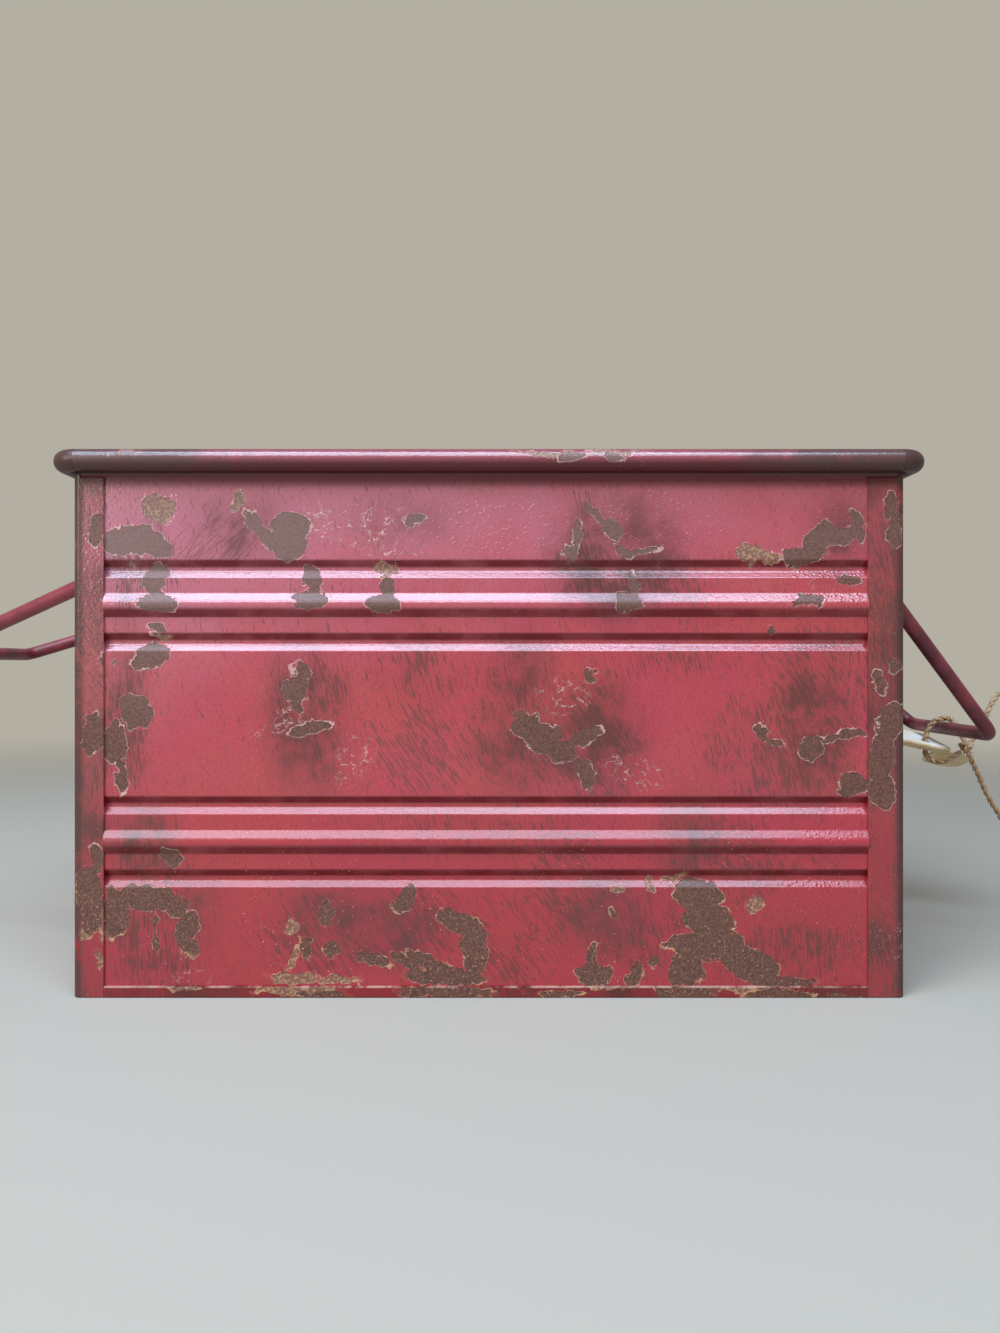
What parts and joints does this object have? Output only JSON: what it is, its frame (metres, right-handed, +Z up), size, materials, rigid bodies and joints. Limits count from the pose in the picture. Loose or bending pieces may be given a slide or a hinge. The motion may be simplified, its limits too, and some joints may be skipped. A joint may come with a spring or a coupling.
{
  "type": "metal storage bin",
  "caption": "Open-topped sheet-metal storage bin with ribbed front and back, a wired rolled rim and a hinged wire handle on each short side.",
  "frame": {"origin": "middle of the flat underside of the bottom pan", "axes": "+Z up through the open top, -Y out of the ribbed front that the picture shows, +X towards the right-hand handle"},
  "size_m": [0.5052, 0.2442, 0.197],
  "materials": {
    "panel_paint": "satin red paint, chipped to grey",
    "side_paint": "satin red paint, darker at its edges, chipped",
    "pan_paint": "satin red paint, scuffed",
    "bare_wire": "plain drawn steel wire",
    "handle_paint": "satin wine red paint",
    "strap_paint": "satin dark red paint",
    "rivet_paint": "satin dark red paint, worn at the heads",
    "tag_card": "kraft card with a white face, uncoated",
    "jute": "twisted jute twine"
  },
  "bodies": {
    "body": {"front_panel": "panel_paint", "back_panel": "panel_paint", "left_side_panel": "side_paint", "right_side_panel": "side_paint", "bottom_pan": "pan_paint", "rim_wire": "bare_wire", "left_front_strap": "strap_paint", "left_front_rivets": "rivet_paint", "left_rear_strap": "strap_paint", "left_rear_rivets": "rivet_paint", "right_front_strap": "strap_paint", "right_front_rivets": "rivet_paint", "right_rear_strap": "strap_paint", "right_rear_rivets": "rivet_paint"},
    "left_handle": {"left_handle": "handle_paint"},
    "right_handle": {"right_handle": "handle_paint", "card_tag": "tag_card", "twine_loop": "jute", "lower_tail": "jute", "upper_tail": "jute", "knot": "jute"}
  },
  "joints": [
    {"name": "left_handle_hinge", "type": "hinge", "parent": "body", "child": "left_handle", "pos_m": [-0.1532, 0, 0.1564], "axis": [0, -1, 0], "range_deg": [-98, 70.4]},
    {"name": "right_handle_hinge", "type": "hinge", "parent": "body", "child": "right_handle", "pos_m": [0.1532, 0, 0.1564], "axis": [0, 1, 0], "range_deg": [-124.8, 30]}
  ]
}
